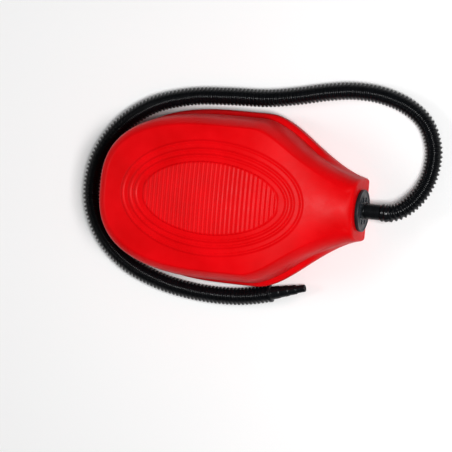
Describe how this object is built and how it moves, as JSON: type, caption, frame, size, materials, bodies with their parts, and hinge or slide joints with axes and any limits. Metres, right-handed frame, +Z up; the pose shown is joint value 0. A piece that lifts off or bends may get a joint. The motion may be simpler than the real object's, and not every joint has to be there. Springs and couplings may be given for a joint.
{
  "type": "foot air pump",
  "caption": "Foot-operated bellows air pump with an oval tread pad, a valved fitting in its neck, and a corrugated hose with a stepped nozzle.",
  "frame": {"origin": "centre of the pump's footprint on the floor, the hose and nozzle left out", "axes": "+X out of the neck along the port tube, +Z up from the flat underside"},
  "size_m": [0.3999, 0.2515, 0.0948],
  "materials": {
    "red_moulding": "matte with a soft sheen",
    "black_plastic": "satin",
    "black_hose": "glossy",
    "grey_rubber": "matte",
    "pale_plastic": "satin",
    "spring_steel": "zinc plated"
  },
  "bodies": {
    "base": {"lower_shell": "red_moulding", "bellows_waist": "red_moulding", "neck_sleeve": "red_moulding", "hinge_wall": "red_moulding", "return_spring": "spring_steel", "lower_spring_cup": "pale_plastic", "valve_flange": "black_plastic", "flange_seal": "grey_rubber", "lock_ring": "black_plastic", "flap_retainer": "pale_plastic", "outlet_seat": "pale_plastic", "hose": "black_hose", "nozzle": "black_plastic"},
    "upper_lobe": {"upper_shell": "red_moulding", "tread_ring_outer": "red_moulding", "tread_ring_middle": "red_moulding", "tread_ring_inner": "red_moulding", "tread_ribs": "red_moulding", "upper_spring_cup": "pale_plastic"},
    "intake_valve": {"intake_flap": "grey_rubber"},
    "outlet_valve": {"outlet_flap": "grey_rubber"}
  },
  "joints": [
    {"name": "press", "type": "hinge", "parent": "base", "child": "upper_lobe", "pos_m": [0.085, 0, 0.028], "axis": [0, -1, 0], "range_deg": [0, 10.5], "stiffness_Nm_per_rad": 60, "springref_deg": -4.01, "deforming": ["bellows_waist", "hinge_wall", "return_spring"]},
    {"name": "intake_lift", "type": "slide", "parent": "base", "child": "intake_valve", "axis": [-1, 0, 0], "range_m": [0, 0.002], "stiffness_N_per_m": 20, "springref_m": -0.002},
    {"name": "outlet_swing", "type": "hinge", "parent": "base", "child": "outlet_valve", "pos_m": [0.12125, 0, 0.0327], "axis": [0, -1, 0], "range_deg": [0, 50], "stiffness_Nm_per_rad": 0.002, "springref_deg": -11.46}
  ]
}
